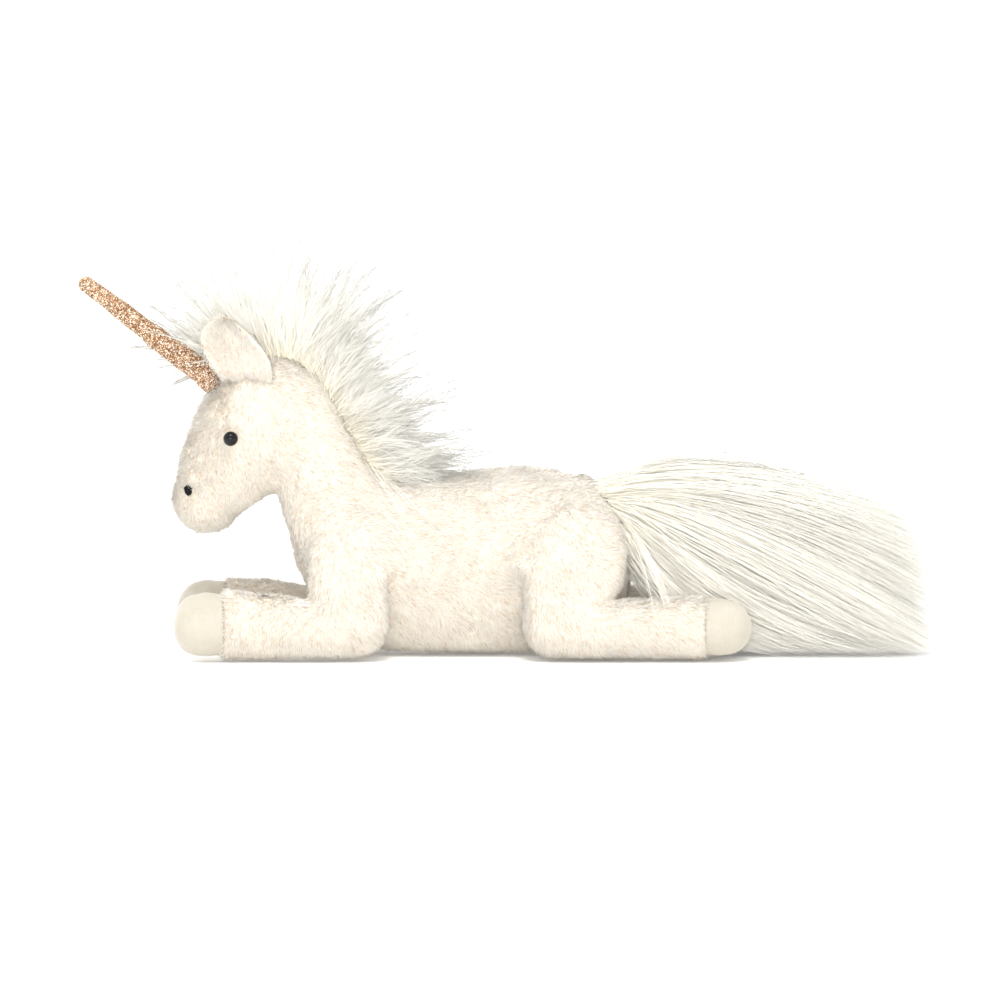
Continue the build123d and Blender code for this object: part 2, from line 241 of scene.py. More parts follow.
def strand_mesh(name, roots, tips_by_step, radii, tone, material, normals, rounded=0.35, sides=3):
    """Closed tapering strands. roots: (n, 3); tips_by_step: (n, k, 3) later points, the last one sharp."""
    line = np.concatenate([roots[:, None, :], tips_by_step], axis=1)
    n, k = line.shape[:2]
    along = unit(line[:, 1:] - line[:, :-1])
    along = np.concatenate([along, along[:, -1:]], axis=1)
    helper = np.where(np.abs(along[:, :1, 2:]) < 0.9, UP, np.array([1.0, 0.0, 0.0]))
    helper = np.broadcast_to(helper, along.shape)
    u = unit(np.cross(along, helper))
    v = np.cross(along, u)
    angle = np.arange(sides) * 2 * math.pi / sides
    ring = u[:, :-1, None] * np.cos(angle)[:, None] + v[:, :-1, None] * np.sin(angle)[:, None]
    width = radii[:, None, None] if radii.ndim == 1 else radii[..., None]
    body = line[:, :-1, None] + ring * width[:, :, None]
    points = np.concatenate([body.reshape(n, -1, 3), line[:, -1:]], axis=1)
    per = points.shape[1]
    start = (np.arange(n) * per)[:, None]
    last = (k - 2) * sides
    tris = tube_faces(k - 1, sides)
    tris += [(last + s, last + (s + 1) % sides, per - 1) for s in range(sides)]
    tris += [(0, s + 1, s) for s in range(1, sides - 1)]
    faces = (start[:, :, None] + np.array(tris)[None]).reshape(-1, 3)
    obj = new_mesh(name, points.reshape(-1, 3), faces, material)
    row = np.concatenate([np.repeat(np.arange(k - 1), sides), [k - 1]]) / (k - 1)
    uv = np.stack(np.broadcast_arrays(tone[:, None], row[None]), -1).astype(np.float32)
    layer = obj.data.uv_layers.new(name="OFBake")
    layer.data.foreach_set("uv", uv.reshape(-1, 2)[faces.ravel()].ravel())
    spread = np.concatenate([ring.reshape(n, -1, 3), along[:, -1:]], axis=1)
    mixed = unit(normals[:, None] + spread * rounded)
    obj.data.normals_split_custom_set_from_vertices(mixed.reshape(-1, 3).astype(np.float32))
    return obj


# -------- materials

class Nodes:
    """Short calls for building one material's node tree."""

    def __init__(self, name):
        self.material = bpy.data.materials.new(name)
        self.material.use_nodes = True
        self.tree = self.material.node_tree
        self.shader = self.tree.nodes["Principled BSDF"]

    def add(self, kind, **values):
        node = self.tree.nodes.new(kind)
        for key, value in values.items():
            if key in node.inputs:
                node.inputs[key].default_value = value
            else:
                setattr(node, key, value)
        return node

    def link(self, source, target):
        self.tree.links.new(source, target)

    def set(self, **values):
        for key, value in values.items():
            self.shader.inputs[key.replace("_", " ")].default_value = value

    def paint(self, colour):
        self.link(colour, self.shader.inputs["Base Color"])

    def ramp(self, source, stops):
        ramp = self.add("ShaderNodeValToRGB")
        elements = ramp.color_ramp.elements
        while len(elements) < len(stops):
            elements.new(0.5)
        for element, (at, colour) in zip(elements, stops):
            element.position = at
            element.color = (*colour, 1.0)
        self.link(source, ramp.inputs[0])
        return ramp.outputs["Color"]

    def mix(self, factor, a, b, blend="MIX"):
        node = self.add("ShaderNodeMix", data_type="RGBA", blend_type=blend)
        node.inputs["Factor"].default_value = factor
        self.link(a, node.inputs["A"])
        self.link(b, node.inputs["B"])
        return node.outputs["Result"]

    def cloud(self, **values):
        """Noise in the object's own space."""
        where, noise = self.add("ShaderNodeTexCoord"), self.add("ShaderNodeTexNoise", **values)
        self.link(where.outputs["Object"], noise.inputs["Vector"])
        return noise.outputs["Fac"]

    def own(self):
        """The two numbers that a strand or chip carries in its UV."""
        uv, split = self.add("ShaderNodeUVMap", uv_map="OFBake"), self.add("ShaderNodeSeparateXYZ")
        self.link(uv.outputs["UV"], split.inputs[0])
        return split.outputs["X"], split.outputs["Y"]


def srgb(*values):
    return tuple(((v / 255 + 0.055) / 1.055) ** 2.4 if v > 10 else v / 255 / 12.92 for v in values)


def pile_material(name, *colours):
    """Short or long pile: colour runs from a darker, warmer root, painted shade deep among the fibres, to the
    tip, and its tone differs from strand to strand.
    """
    n = Nodes(name)
    root, middle, tip, low_tone_and_shade = (srgb(*c) for c in colours)
    own_tone, place = n.own()
    along = n.ramp(place, [(0.0, root), (0.45, middle), (1.0, tip)])
    # the lowest tones: strands darker at random, and on the pile also the painted shade in the folds
    tone = n.ramp(own_tone, [(0.0, low_tone_and_shade), (0.5, (0.97, 0.97, 0.97)), (1.0, (1.0, 1.0, 1.0))])
    n.paint(n.mix(1.0, along, tone, "MULTIPLY"))
    n.set(Roughness=0.75, Specular_IOR_Level=0.25)
    n.set(Sheen_Weight=0.25, Sheen_Roughness=0.5, Sheen_Tint=(1.0, 0.97, 0.92, 1.0))
    return n.material


def cloth_material(name, light, dark, scale, bump):
    """Plain fabric under the pile or on a hoof, with a fine nap."""
    n = Nodes(name)
    light, dark = srgb(*light), srgb(*dark)
    fine = n.cloud(Scale=scale, Detail=6.0, Roughness=0.6)
    grain = n.mix(0.35, fine, n.cloud(Scale=scale / 12, Detail=2.0))
    n.paint(n.ramp(grain, [(0.3, dark), (0.62, light)]))
    relief = n.add("ShaderNodeBump", Strength=bump, Distance=0.0004)
    n.link(fine, relief.inputs["Height"])
    n.link(relief.outputs["Normal"], n.shader.inputs["Normal"])
    n.set(Roughness=0.9, Specular_IOR_Level=0.2, Sheen_Weight=0.35, Sheen_Roughness=0.4)
    return n.material


def plain_material(name, colour, roughness, **values):
    """A smooth hard or thread material with a faint procedural unevenness."""
    n = Nodes(name)
    darker = tuple(c * 0.86 for c in colour)
    n.paint(n.ramp(n.cloud(Scale=420.0, Detail=3.0), [(0.35, darker), (0.6, colour)]))
    n.set(Roughness=roughness, **values)
    return n.material


def glitter_material(name):
    """Foil chips: each one's tone, from its own number, runs from dark brown through copper to near white."""
    n = Nodes(name)
    stops = [
        (0.0, srgb(84, 54, 32)), (0.22, srgb(142, 102, 66)), (0.45, srgb(196, 158, 120)),
        (0.66, srgb(228, 198, 162)), (0.88, srgb(255, 244, 226)),
    ]
    n.paint(n.ramp(n.own()[0], stops))
    n.set(Roughness=0.3, Metallic=0.35)
    return n.material


def floor_material(name):
    n = Nodes(name)
    n.paint(n.ramp(n.cloud(Scale=3.0, Detail=2.0), [(0.2, [0.93] * 3), (0.8, [0.95] * 3)]))
    n.set(Roughness=0.95, Specular_IOR_Level=0.0)
    n.set(Emission_Strength=0.12, Emission_Color=(1.0, 1.0, 1.0, 1.0))
    return n.material


MATERIALS = {
    "skin": cloth_material("fur_backing", (246, 236, 220), (232, 216, 194), 900, 0.5),
    # the pile's darker, warmer root colour is painted shade deep among the fibres
    "pile": pile_material("short_pile", (239, 224, 206), (251, 245, 234), (251, 247, 238), (223, 207, 185)),
    # mane and tail hair: the warmer root colour is painted shade where the strands lie densest
    "hair": pile_material("mane_hair", (255, 247, 226), (254, 250, 240), (243, 242, 235), (244, 242, 234)),
    "tail_hair": pile_material(
        "tail_hair", (255, 249, 231), (255, 251, 240), (251, 248, 238), (247, 242, 227)
    ),
    # the fine tips fade to grey: painted shade that lets the thin white ends show against a bright ground
    "wisps": pile_material("fine_tips_painted_shade", (252, 247, 232), (234, 231, 221), (164, 163, 157), (228, 227, 219)),
    "suede": cloth_material("hoof_nap", (193, 187, 174), (181, 173, 158), 1600, 0.35),
    "woven": cloth_material("woven_backing", (244, 230, 200), (226, 208, 172), 1400, 0.6),
    "glitter": glitter_material("glitter_chips"),
    "glitter_ground": cloth_material("glitter_ground", (176, 128, 96), (92, 60, 40), 1500, 0.6),
    "bead": plain_material("polished_bead", (0.004, 0.004, 0.005), 0.05, Specular_IOR_Level=0.3),
    "washer": plain_material("washer_plastic", (0.6, 0.6, 0.58), 0.5),
    "pellet": plain_material("pellet_plastic", (0.7, 0.7, 0.68), 0.4),
    "thread": plain_material("black_thread", (0.006, 0.006, 0.007), 0.6, Specular_IOR_Level=0.15),
    "floor": floor_material("pale_floor"),
}


# -------- the body's forms

INSET = 2.2     # the pile stands this far off the skin

TORSO = [
    (-66, 0, 45, 43, 25), (-45, 0, 45, 45.5, 28), (-20, 0, 46, 46.5, 29.5), (5, 0, 47.5, 48, 30),
    (22, 0, 48.5, 47.3, 29.5), (33, 0, 50, 45, 28), (42, 0, 51.5, 41, 25),
]
TORSO_CAPS = (24, 24)
NECK = [
    (-69, 0, 46, 30, 22), (-74, 0, 57, 31.5, 24.5), (-80, 0, 69, 28.5, 24), (-87, 0, 85, 26, 22),
    (-93, 0, 98, 24.8, 21), (-99, 0, 110, 24, 21), (-104, 0, 120, 23, 20),
]
NECK_CAPS = (28, 20)
MUZZLE, CROWN = np.array([-147.0, 0, 78.0]), np.array([-116.0, 0, 118.0])
HEAD = [     # distance up the head, half depth, half width
    (0, 18.2, 13.8), (8, 21.6, 15.5), (18, 25.2, 17.3), (30, 29.6, 20.5), (40, 32.4, 23), (52, 33.9, 24.3),
]
FACE_FORWARD = 1.7      # the head's line leans this far towards the face in its middle
HEAD_CAPS = (17.5, 33.8)


def head_rows():
    step = unit(CROWN - MUZZLE)
    face = np.array([-step[2], 0, step[0]]) * FACE_FORWARD
    rows = []
    for s, deep, wide in HEAD:
        at = MUZZLE + s * step + face * math.sin(math.pi * s / HEAD[-1][0])
        rows.append((*at, deep, wide))
    return rows


FRONT_UPPER = [
    (-76, -21, 56, 16, 11), (-76.5, -27.5, 44, 20, 13), (-75.5, -30.5, 27, 20.5, 14.5),
    (-74, -31, 19, 18.5, 14),
]
FRONT_LOWER = [
    (-72, -31, 18.5, 17.5, 14), (-85, -31, 16.3, 16.3, 14.5), (-98, -31, 16.2, 16.2, 14.5),
    (-115, -31, 17.4, 17.6, 14.3), (-134, -31, 18, 18.5, 14),
]
HIND_UPPER = [
    (36, -22, 58, 23, 12), (36, -28.5, 46, 27, 14.2), (32, -31, 30, 21.5, 14.5), (31, -31, 20, 19, 14),
]
HIND_LOWER = [
    (28, -31, 18.5, 18.5, 14), (45, -31, 16.6, 16.8, 14.5), (60, -31, 16.2, 16.2, 14.3),
    (88, -31, 16.8, 16.8, 14.2), (99, -31, 16.6, 16.8, 14),
]
LEG_CAPS = (17, 10)
CREASE = 4.0            # how softly a leg's two parts run together
FOLD_SHADE_WIDTH = 4.0        # how wide the painted shade is where a leg lies against the body
FOLD_SHADE_TOP, FOLD_SHADE_FADE = 44.0, 16      # the height where that painted shade ends, and how far down it is full
FRONT_HOOF = [(-138, -31, 17.8, 15.5, 13), (-146, -31, 17.7, 16.4, 13.4), (-150, -31, 17.5, 15.8, 13)]
HOOF_CAPS = (2, 12.5)
HIND_HOOF = [(103, -31, 16.6, 14, 13), (109, -31, 16.7, 14.7, 13.2), (112.5, -31, 16.7, 14.2, 12.6)]


def grown(rows, by):
    return [(x, y, z, deep + by, wide + by) for x, y, z, deep, wide in rows]


def flipped(rows):
    return [(x, -y, z, deep, wide) for x, y, z, deep, wide in rows]


# each side's legs are made from the left ones' rows
SIDES = (("left", lambda rows: rows), ("right", flipped))


def form(grid, rows, caps):
    """A tube whose surface lies under the pile."""
    return grid.tube(grown(rows, -INSET), [max(c - INSET, 1.0) for c in caps])


NECK_SOFT, HEAD_SOFT = 14.0, 6.0        # how softly the neck and head run into what is below them
BODY = Grid((-172, -56, -6), (132, 56, 162), 1.3)


def body_fields():
    """Distance fields of torso with neck, head, and each leg, the skin they make together, and the painted
    shade in the folds where a leg lies against the body.
    """
    g = BODY
    trunk = smooth_min(form(g, TORSO, TORSO_CAPS), form(g, NECK, NECK_CAPS), NECK_SOFT)
    head = form(g, head_rows(), HEAD_CAPS)
    legs = {}
    for side, turn in SIDES:
        for end, upper, upper_caps, lower in (
            ("front", FRONT_UPPER, (11, 14), FRONT_LOWER), ("hind", HIND_UPPER, (16, 14), HIND_LOWER),
        ):
            parts = form(g, turn(upper), upper_caps), form(g, turn(lower), LEG_CAPS)
            legs[f"{side}_{end}_leg"] = smooth_min(*parts, CREASE)
    # a leg runs sharply into the body low down, and softly higher up
    height = held((g.z - 28.0) / 30.0)[:, None, :]
    soft = (1.6 + 20.0 * height * height * (3 - 2 * height)).astype(np.float32)
    body = smooth_min(trunk, head, HEAD_SOFT)
    skin = body
    for leg in legs.values():
        skin = smooth_min(skin, leg, soft)
    # painted shade: the fibres' tone is darkened where a leg lies close against the body, fading out higher
    # up
    nearest = np.partition(np.stack([body, *legs.values()]), 1, axis=0)
    fold = held(1 - (nearest[1] - nearest[0]) / FOLD_SHADE_WIDTH)
    fold = fold * held((FOLD_SHADE_TOP - g.z) / FOLD_SHADE_FADE)[:, None, :]
    skin = smooth_max(skin, g.floor(0.6), 5.0)
    return trunk, head, legs, skin, fold


def shell(grid, name, field, material):
    """The surface of a field as a piece, with the points, quads and outward normals its pile grows from."""
    points, quads = grid.surface(field)
    quads = outward(points, quads)
    normals = BODY.gradient(SKIN, points) if grid is BODY else grid.gradient(field, points)
    bare = BODY.at(SKIN, points) > -0.25
    swell = 0.5 * LUMPS(points) + 0.25 * WRINKLES(points)
    points = points + normals * swell[:, None]
    return new_mesh(name, points, quads, material), (points, quads, normals, bare)


LUMPS, WRINKLES = Noise(3, 17.0), Noise(4, 6.0)
TRUNK, HEAD_FIELD, LEGS, SKIN, FOLD_SHADE = body_fields()
OVERLAP = 1.2       # how far two skins run past the line between them
JAW_X = -100        # in front of this, the head's skin takes whatever lies nearer to the head
make_camera()


def build_skins():
    """Torso with neck, head, and four legs, each its own piece, with a narrow overlap where they meet."""
    g = BODY
    nearest_leg = np.minimum.reduce(list(LEGS.values()))
    rest = np.minimum(TRUNK, HEAD_FIELD)
    # the head's skin starts high on the neck, and takes in the whole jaw
    middle, axis = np.array([-91.0, 94.0]), np.array([-0.45, 0.89])
    up_neck = ((g.x - middle[0]) * axis[0] + (g.z - middle[1]) * axis[1])[:, None, :]
    up_neck = np.maximum(up_neck, np.where(g.x[:, :, None] < JAW_X, TRUNK - HEAD_FIELD, -50.0))
    body = smooth_max(SKIN, (rest - nearest_leg) * 0.5 - OVERLAP, 1.0)
    made = {
        "trunk": shell(g, "trunk_skin", np.maximum(body, up_neck - OVERLAP), MATERIALS["skin"]),
        "head": shell(g, "head_skin", np.maximum(body, -up_neck - OVERLAP), MATERIALS["skin"]),
    }
    for name, leg in LEGS.items():
        others = np.minimum.reduce([rest] + [f for n, f in LEGS.items() if n != name])
        field = smooth_max(SKIN, (leg - others) * 0.5 - OVERLAP, 1.0)
        made[name] = shell(g, f"{name}_skin", field, MATERIALS["skin"])
    return made


def build_hooves():
    made = {}
    for side, turn in SIDES:
        for end, rows, x in (("front", FRONT_HOOF, -150), ("hind", HIND_HOOF, 112)):
            y = turn(rows)[0][1]
            g = Grid((x - 18, y - 18, -2), (x + 18, y + 18, 38), 0.8)
            field = smooth_max(g.tube(turn(rows), HOOF_CAPS), g.floor(1.2), 6.0)
            name = f"{side}_{end}_hoof"
            made[name] = shell(g, name, field, MATERIALS["suede"])[0]
    return made


# -------- the short coat

PER_PIECE = 49000       # fibres, of four faces each
SUNK = 0.3              # how deep a fibre starts in the skin
LEAN, SPREAD = Noise(11, 15.0), [Noise(20 + i, 9.0) for i in range(3)]
TUFTS = [Noise(30 + i, 2.3) for i in range(3)]
SHADE = Noise(41, 5.0)


def vector_noise(parts, p):
    return np.stack([part(p) for part in parts], -1)


def grow(name, surface, comb, keep, seed, density=2.3, length=3.6, radius=0.36, lift=0.42, tint=0.0):
    """Short closed tapering fibres over a surface, combed and in tufts, in pieces of a limited size."""
    points, quads, normals, bare = surface
    quads = quads[bare[quads].all(axis=1)]
    rng = np.random.default_rng(seed)
    corner = points[quads]
    area = 0.5 * np.linalg.norm(np.cross(corner[:, 2] - corner[:, 0], corner[:, 3] - corner[:, 1]), axis=1)
    quad = np.repeat(np.arange(len(quads)), rng.poisson(area * density))
    u, v = rng.random((2, len(quad), 1))
    share = np.stack([(1 - u) * (1 - v), u * (1 - v), u * v, (1 - u) * v], 1)
    root = np.sum(corner[quad] * share, axis=1)
    up = unit(np.sum(normals[quads[quad]] * share, axis=1))
    if keep:
        kept = keep(root)
        root, up = root[kept], up[kept]
    n = len(root)
    flow = comb(root) + 0.5 * vector_noise(SPREAD, root) + 0.16 * rng.normal(size=(n, 3))
    along = unit(flow - np.sum(flow * up, axis=1, keepdims=True) * up)
    rise = lift + 0.1 * LEAN(root) + 0.14 * rng.normal(size=n) + 0.5 * at_cuff(root)
    rise = np.clip(rise, 0.12, 1.3)[:, None]
    long = length * rng.uniform(0.65, 1.2, (n, 1))
    tip = root + (along * np.cos(rise) + up * np.sin(rise)) * long + 0.6 * vector_noise(TUFTS, root)
    tip[:, 2] = np.maximum(tip[:, 2], 0.25)
    start = root - up * SUNK
    start[:, 2] = np.maximum(start[:, 2], 0.3)
    # tone differs at random from fibre to fibre and in broad patches, and is lowered in the folds as painted
    # shade
    tone = np.clip(0.57 + 0.08 * SHADE(root) + rng.normal(0, 0.27, n) + tint - crease_shade(root), 0.02, 0.98)
    made = []
    for i in range(math.ceil(n / PER_PIECE)):
        s = slice(i * PER_PIECE, (i + 1) * PER_PIECE)
        label = f"{name}_{i + 1}"
        width = np.full(len(root[s]), radius) * rng.uniform(0.7, 1.2, len(root[s]))
        made.append(strand_mesh(label, start[s], tip[s, None], width, tone[s], MATERIALS["pile"], up[s]))
    return made


def crease_shade(p):
    """How deep a point is in the fold between two forms, as a darkening of its tone: painted shade in the
    crease.
    """
    return 0.4 * BODY.at(FOLD_SHADE, p)


def near_axis(p, x, z):
    return np.hypot(p[:, 0] - x, p[:, 2] - z)


EYE, EYE_R = (-134.0, 110.5), 3.7
NOSTRIL = (-155.7, 83.4)
HORN_BASE, HORN_TIP = np.array([-143.9, 0, 137.2]), np.array([-209.6, 0, 187.8])


def between_ways(a, b, share):
    return np.array(a) * (1 - share) + np.array(b) * share


def comb_head(p):
    back = held((p[:, :1] + 128) / 30)
    flow = between_ways([0.5, 0.0, -0.87], [0.85, 0.0, -0.5], back)
    away = p - np.array([EYE[0], 0, EYE[1]])
    away[:, 1] = 0
    close = held(1 - (near_axis(p, *EYE)[:, None] - EYE_R) / 4.0)
    return flow + unit(away) * close * 2.0


def comb_trunk(p):
    """Down and back on the neck and chest, back along the barrel, and down on the belly."""
    up_neck = held((p[:, 2:] - 70) / 30) * held((-60 - p[:, :1]) / 20)
    low = held((45 - p[:, 2:]) / 40)
    barrel = between_ways([0.9, 0.0, -0.35], [0.45, 0.0, -0.9], low)
    return between_ways(barrel, [0.8, 0.0, -0.6], up_neck)


def comb_front_leg(p):
    upper = held((p[:, :1] + 95) / 20)
    cuff = held((-131 - p[:, :1]) / 5)
    flow = between_ways([-0.25, 0.0, -1.0], [0.5, 0.0, -0.85], upper)
    return between_ways(flow, [-1.0, 0.0, -0.4], cuff)


def comb_hind_leg(p):
    shank = held((p[:, :1] - 35) / 25)
    cuff = held((p[:, :1] - 98) / 5)
    flow = between_ways([0.35, 0.0, -0.95], [0.75, 0.0, -0.65], shank)
    return between_ways(flow, [1.0, 0.0, -0.25], cuff)


def at_cuff(p):
    """How near a leg's fur is to its hoof, from 0 to 1."""
    return held(np.maximum(-132 - p[:, 0], p[:, 0] - 98) / 4)


def off_face(p):
    """Clear of the eyes, the nostrils and the foot of the horn."""
    stitched = (near_axis(p, *NOSTRIL) < 2.0) & (np.abs(p[:, 1]) > 6)
    eyes = (near_axis(p, *EYE) < EYE_R - 0.2) & (np.abs(p[:, 1]) > 8)
    horn = np.linalg.norm(p - HORN_BASE, axis=1) < 5.0
    return ~(stitched | eyes | horn)


def build_coat(skins):
    made = {"trunk": grow("trunk_pile", skins["trunk"][1], comb_trunk, None, 101)}
    made["head"] = grow(
        "head_pile", skins["head"][1], comb_head, off_face, 102, density=2.8, length=3.0, tint=-0.05
    )
    for i, name in enumerate(LEGS):
        comb = comb_front_leg if "front" in name else comb_hind_leg
        made[name] = grow(f"{name}_pile", skins[name][1], comb, None, 110 + i)
    return made


# -------- ears

EAR_FRONT = [(-138.8, 140.5), (-144, 148), (-147.8, 156), (-148.6, 163), (-145.4, 168.3), (-138.5, 171.2)]
EAR_BACK = [(-114.5, 135.5), (-114, 142), (-114.6, 148.6), (-118.4, 155.3), (-126, 164), (-134.5, 170.8)]
EAR_THICK, EAR_CUP, EAR_ACROSS = 1.6, 6.5, 28


def spaced(rows, count):
    """Points spread evenly along a smooth curve through rows of two numbers."""
    line = through([(x, z, 0) for x, z in rows])[:, :2]
    far = np.concatenate([[0], np.cumsum(np.linalg.norm(np.diff(line, axis=0), axis=1))])
    at = np.linspace(0, far[-1], count)
    return np.stack([np.interp(at, far, line[:, i]) for i in range(2)], -1)


def ear_form(side):
    """A cupped leaf, open outwards, whose rim is rounded and whose foot is sunk into the head."""
    rows = 30
    front, back = spaced(EAR_FRONT, rows), spaced(EAR_BACK, rows)
    u = np.linspace(-1, 1, EAR_ACROSS)
    v = np.linspace(0, 1, rows)[:, None]
    x = front[:, :1] * (1 - u) / 2 + back[:, :1] * (1 + u) / 2
    z = front[:, 1:] * (1 - u) / 2 + back[:, 1:] * (1 + u) / 2
    # the leaf leans outwards, its middle is drawn in, and one fold rises from the foot and fades out
    fold = np.exp(-(((u - 0.1 + 0.5 * v) / 0.22) ** 2)) * held(1.1 - 1.2 * v)
    foot = 1 - held(v / 0.3) * (2 - held(v / 0.3))
    y = -(21 + 5 * v) + EAR_CUP * (1 - u**2) * (0.4 + 0.6 * v * (2 - v)) + 1.5 * fold + 6.0 * foot
    thick = EAR_THICK * np.sqrt(held(1 - np.abs(u) ** 6)) * np.sqrt(held(1 - v**12)) + 0.05
    points = np.concatenate([np.stack([x, y + way * thick, z], -1).reshape(-1, 3) for way in (-1, 1)])
    points[:, 1] *= side
    quads = outward(points, two_sheets(rows, EAR_ACROSS))
    return points, quads, vertex_normals(points, quads), np.full(len(points), True)


def two_sheets(rows, across):
    """Quads of a closed leaf: a grid of points, the same grid again as its other face, and the rim."""
    count = rows * across
    index = np.arange(count).reshape(rows, across)
    sheet = np.stack([index[:-1, :-1], index[:-1, 1:], index[1:, 1:], index[1:, :-1]], -1).reshape(-1, 4)
    rim = np.concatenate([index[0, :], index[1:, -1], index[-1, -2::-1], index[-2:0:-1, 0]])
    after = np.roll(rim, -1)
    sides = np.stack([after, rim, rim + count, after + count], -1)
    return np.concatenate([sheet, sheet[:, ::-1] + count, sides])


def vertex_normals(points, quads):
    c = points[quads]
    face = np.cross(c[:, 2] - c[:, 0], c[:, 3] - c[:, 1])
    total = np.zeros_like(points)
    for i in range(4):
        np.add.at(total, quads[:, i], face)
    return unit(total)


def build_ears():
    made = {}
    for name, side, seed in (("left", 1, 201), ("right", -1, 202)):
        surface = ear_form(side)
        skin = new_mesh(f"{name}_ear_skin", surface[0], surface[1], MATERIALS["skin"])
        pile = grow(
            f"{name}_ear_pile", surface, lambda p: np.tile([0.35, 0.0, -0.9], (len(p), 1)),
            None, seed, density=2.8, length=3.0, radius=0.32, lift=0.45, tint=0.05,
        )
        made[name] = (skin, pile)
    return made


# -------- horn, eyes and nostrils

CHIPS = 11000       # glitter chips on the horn
HORN_FOOT, HORN_NARROWING, HORN_SUNK = 6.5, 2.9, 5.0      # radius, its loss up to the tip, depth in the head


def build_horn():
    rings, around = 90, 40
    t = np.linspace(0, 1, rings)[:, None]
    axis = unit(HORN_TIP - HORN_BASE)
    foot = HORN_BASE - axis * HORN_SUNK
    middle = foot + (HORN_TIP - foot) * t
    rise = np.cross(axis, SIDEWAYS)
    rise = rise * np.sign(rise[2])
    middle = middle + rise * (0.4 * np.sin(3 * math.pi * t) * (1 - 0.5 * t) + 0.6 * np.sin(math.pi * t))
    radius = HORN_FOOT - HORN_NARROWING * t + 0.25 * np.sin(t * 31) * (1 - t)
    radius = radius * np.sqrt(np.clip(1 - ((t - 0.965) / 0.035).clip(0, 1) ** 2, 0.02, 1))
    angle = np.linspace(0, 2 * math.pi, around, endpoint=False)
    ring = rise * np.cos(angle)[:, None] + SIDEWAYS * np.sin(angle)[:, None]
    points = (middle[:, None] + ring[None] * radius[:, None]).reshape(-1, 3)
    normal = np.tile(ring, (rings, 1, 1)).reshape(-1, 3)
    points = points + normal * (0.35 * Noise(51, 5.0)(points))[:, None]
    points = np.vstack([points, middle[:1], middle[-1:]])
    index = np.arange(rings * around).reshape(rings, around)
    right = np.roll(index, -1, axis=1)
    quads = np.stack([index[:-1], right[:-1], right[1:], index[1:]], -1).reshape(-1, 4)
    foot_cap = np.stack([index[0], index[0], right[0], np.full(around, rings * around)], -1)[:, [3, 2, 1]]
    tip_cap = np.stack([np.full(around, rings * around + 1), index[-1], right[-1]], -1)
    tris = np.vstack([quads[:, [0, 1, 2]], quads[:, [0, 2, 3]], foot_cap, tip_cap])
    cover = new_mesh("horn_fabric", points, outward(points, tris), MATERIALS["glitter_ground"])
    rng = np.random.default_rng(53)
    pick = rng.integers(0, len(quads), CHIPS)
    c = points[quads[pick]]
    mix = rng.random((2, CHIPS, 1))
    low_edge = c[:, 0] * (1 - mix[0]) + c[:, 1] * mix[0]
    high_edge = c[:, 3] * (1 - mix[0]) + c[:, 2] * mix[0]
    at = low_edge * (1 - mix[1]) + high_edge * mix[1]
    face = unit(np.cross(c[:, 2] - c[:, 0], c[:, 3] - c[:, 1]))
    face = face * np.sign(np.sum(face * normal[quads[pick, 0]], axis=1, keepdims=True))
    flakes(at + face * 0.12, unit(face + 0.38 * rng.normal(size=(CHIPS, 3))), rng)
    return cover


def flakes(at, up, rng):
    """Thin closed chips, each lying its own way and with its own tone."""
    n = len(at)
    u = unit(np.cross(up, rng.normal(size=(n, 3))))
    v = np.cross(up, u)
    size = rng.uniform(0.26, 0.5, (n, 1))
    around = [at + (u * math.cos(a) + v * math.sin(a)) * size for a in np.arange(4) * math.pi / 2]
    points = np.stack([*around, at + up * 0.09, at - up * 0.09], 1)
    tris = [(i, (i + 1) % 4, 4) for i in range(4)] + [((i + 1) % 4, i, 5) for i in range(4)]
    faces = (np.arange(n)[:, None, None] * 6 + np.array(tris)).reshape(-1, 3)
    obj = new_mesh("horn_glitter", points.reshape(-1, 3), faces, MATERIALS["glitter"], smooth=False)
    tone = rng.random(n).astype(np.float32)
    uv = np.repeat(np.stack([tone, rng.random(n)], -1), 3 * len(tris), axis=0).astype(np.float32)
    obj.data.uv_layers.new(name="OFBake").data.foreach_set("uv", uv.ravel())


def skin_side(x, z):
    """How far the skin is from the middle plane, at a place on the head."""
    y = np.arange(0, 32, 0.25)
    inside = BODY.at(SKIN, np.stack([np.full_like(y, x), -y, np.full_like(y, z)], -1)) < 0
    return y[inside].max()


def capsule(a, b, radius, around=10, caps=4):
    """Points and triangles of one rounded stitch of thread."""
    axis = unit(b - a)
    u = unit(np.cross(axis, [0.3, 1.0, 0.2]))
    v = np.cross(axis, u)
    bend = np.linspace(0, math.pi / 2, caps + 1)[1:]
    steps = [(a, -math.cos(s), math.sin(s)) for s in bend]
    steps += [(b, math.cos(s), math.sin(s)) for s in bend[::-1]]
    angle = np.arange(around) * 2 * math.pi / around
    ring = np.cos(angle)[:, None] * u + np.sin(angle)[:, None] * v
    points = [base + axis * along * radius + ring * wide * radius for base, along, wide in steps]
    points = np.vstack([*points, a - axis * radius, b + axis * radius])
    tris = tube_faces(len(steps), around)
    last, first_pole = (len(steps) - 1) * around, len(steps) * around
    tris += [((s + 1) % around, s, first_pole) for s in range(around)]
    tris += [(last + s, last + (s + 1) % around, first_pole + 1) for s in range(around)]
    return points, np.array(tris)


# each stitch of the left nostril as (x, z) of its two ends
STITCHES = [
    ((-157.5, 84.6), (-156.6, 81.9)), ((-157.0, 85.3), (-155.9, 81.3)), ((-156.3, 85.6), (-155.3, 81.2)),
    ((-155.6, 85.5), (-154.6, 81.6)), ((-155.0, 85.0), (-154.1, 82.5)), ((-157.2, 83.6), (-154.2, 84.3)),
]


